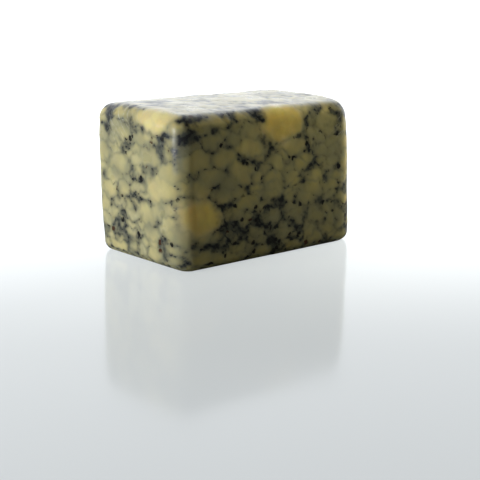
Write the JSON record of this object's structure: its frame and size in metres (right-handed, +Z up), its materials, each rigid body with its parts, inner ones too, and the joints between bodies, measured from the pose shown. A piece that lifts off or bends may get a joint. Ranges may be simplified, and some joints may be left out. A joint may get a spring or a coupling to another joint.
{
  "type": "marbled cheese block",
  "caption": "Block of pale cream cheese with dark blue-grey marbling all through, soft rounded edges and a flat underside.",
  "frame": {"origin": "under the middle of the block's box, on the surface that it lies on", "axes": "+X along the loaf's length, +Y across it, +Z up; the picture looks at the -X end, the long -Y side and the top"},
  "size_m": [0.1594, 0.099, 0.1028],
  "materials": {
    "cheese": "soft waxy gloss, pale cream curds between blurred blue-grey veins with near-black flecks"
  },
  "bodies": {
    "root": {"cheese_block": "cheese"}
  },
  "joints": []
}
